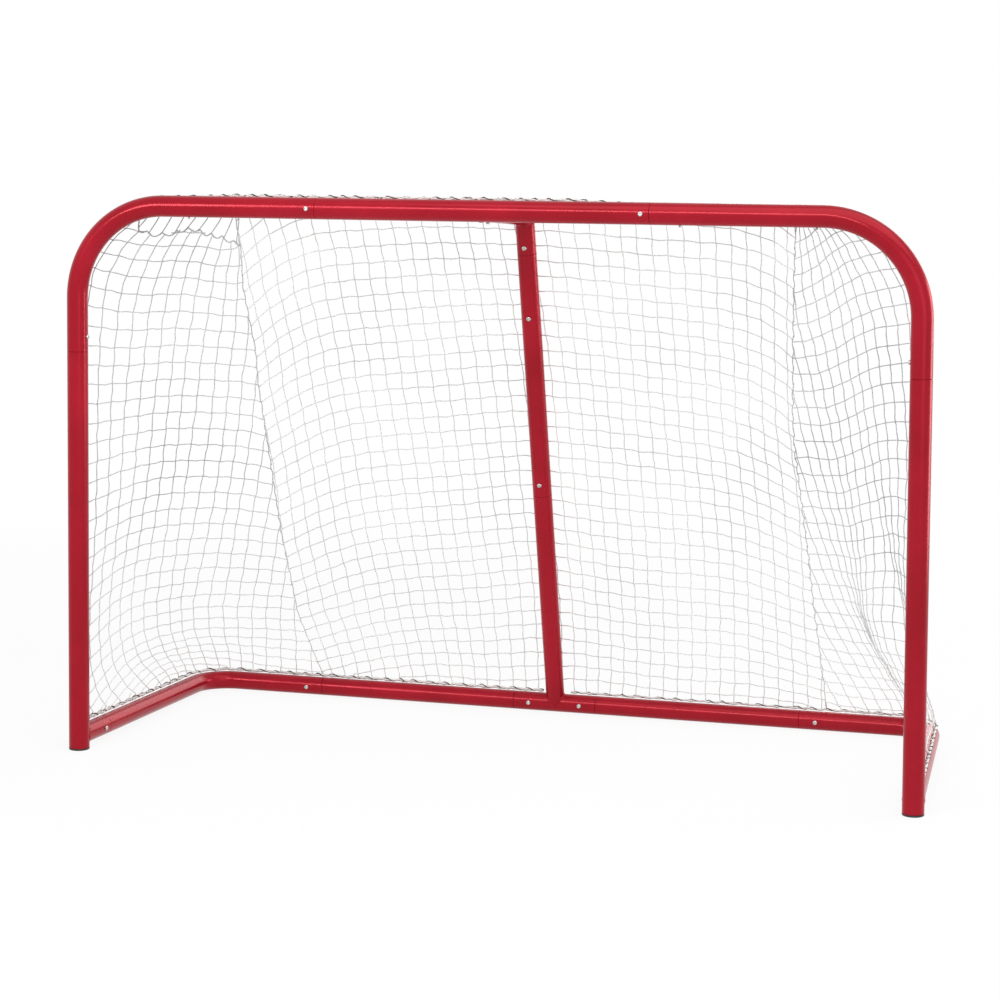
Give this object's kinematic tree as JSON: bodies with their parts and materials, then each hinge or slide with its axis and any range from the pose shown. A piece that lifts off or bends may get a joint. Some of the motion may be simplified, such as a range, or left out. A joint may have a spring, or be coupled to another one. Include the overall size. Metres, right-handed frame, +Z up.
{
  "type": "ice hockey goal",
  "caption": "Red tubular steel ice hockey goal with rounded top corners, a centre upright, a U-shaped base and a knotted white net laced to the tubes.",
  "frame": {"origin": "centre of the bounding box, on the floor", "axes": "+X to the right of somebody who looks into the mouth, +Y from the mouth towards the rear rail, +Z up; the floor is z = 0"},
  "size_m": [1.951, 0.7498, 1.2723],
  "materials": {
    "red_paint": "gloss",
    "zinc_plate": "satin",
    "black_plastic": "matt",
    "lacing_cord": "matt",
    "net_twine": "matt"
  },
  "bodies": {
    "root": {"base_tee": "red_paint", "brace_bolt": "zinc_plate", "brace_nut": "zinc_plate", "crossbar": "red_paint", "crossbar_socket": "red_paint", "left_base_bend": "red_paint", "left_base_lacing": "lacing_cord", "left_bend": "red_paint", "left_crossbar_bolt": "zinc_plate", "left_crossbar_nut": "zinc_plate", "left_foot_plug": "black_plastic", "left_front_lacing": "lacing_cord", "left_post": "red_paint", "left_post_bolt": "zinc_plate", "left_post_nut": "zinc_plate", "left_rail_bolt": "zinc_plate", "left_rail_nut": "zinc_plate", "left_rear_rail": "red_paint", "left_stub": "red_paint", "left_stub_bolt": "zinc_plate", "left_stub_nut": "zinc_plate", "left_tee_bolt": "zinc_plate", "left_tee_nut": "zinc_plate", "lower_upright": "red_paint", "net_back": "net_twine", "net_left_high": "net_twine", "net_left_low": "net_twine", "net_left_middle": "net_twine", "net_right_high": "net_twine", "net_right_low": "net_twine", "net_right_middle": "net_twine", "net_top": "net_twine", "right_base_bend": "red_paint", "right_base_lacing": "lacing_cord", "right_bend": "red_paint", "right_crossbar_bolt": "zinc_plate", "right_crossbar_nut": "zinc_plate", "right_foot_plug": "black_plastic", "right_front_lacing": "lacing_cord", "right_post": "red_paint", "right_post_bolt": "zinc_plate", "right_post_nut": "zinc_plate", "right_rail_bolt": "zinc_plate", "right_rail_nut": "zinc_plate", "right_rear_rail": "red_paint", "right_stub": "red_paint", "right_stub_bolt": "zinc_plate", "right_stub_nut": "zinc_plate", "right_tee_bolt": "zinc_plate", "right_tee_nut": "zinc_plate", "socket_bolt": "zinc_plate", "socket_nut": "zinc_plate", "spare_bolt": "zinc_plate", "spare_nut": "zinc_plate", "top_brace": "red_paint", "upper_upright": "red_paint", "upright_bolt": "zinc_plate", "upright_nut": "zinc_plate"}
  },
  "joints": []
}
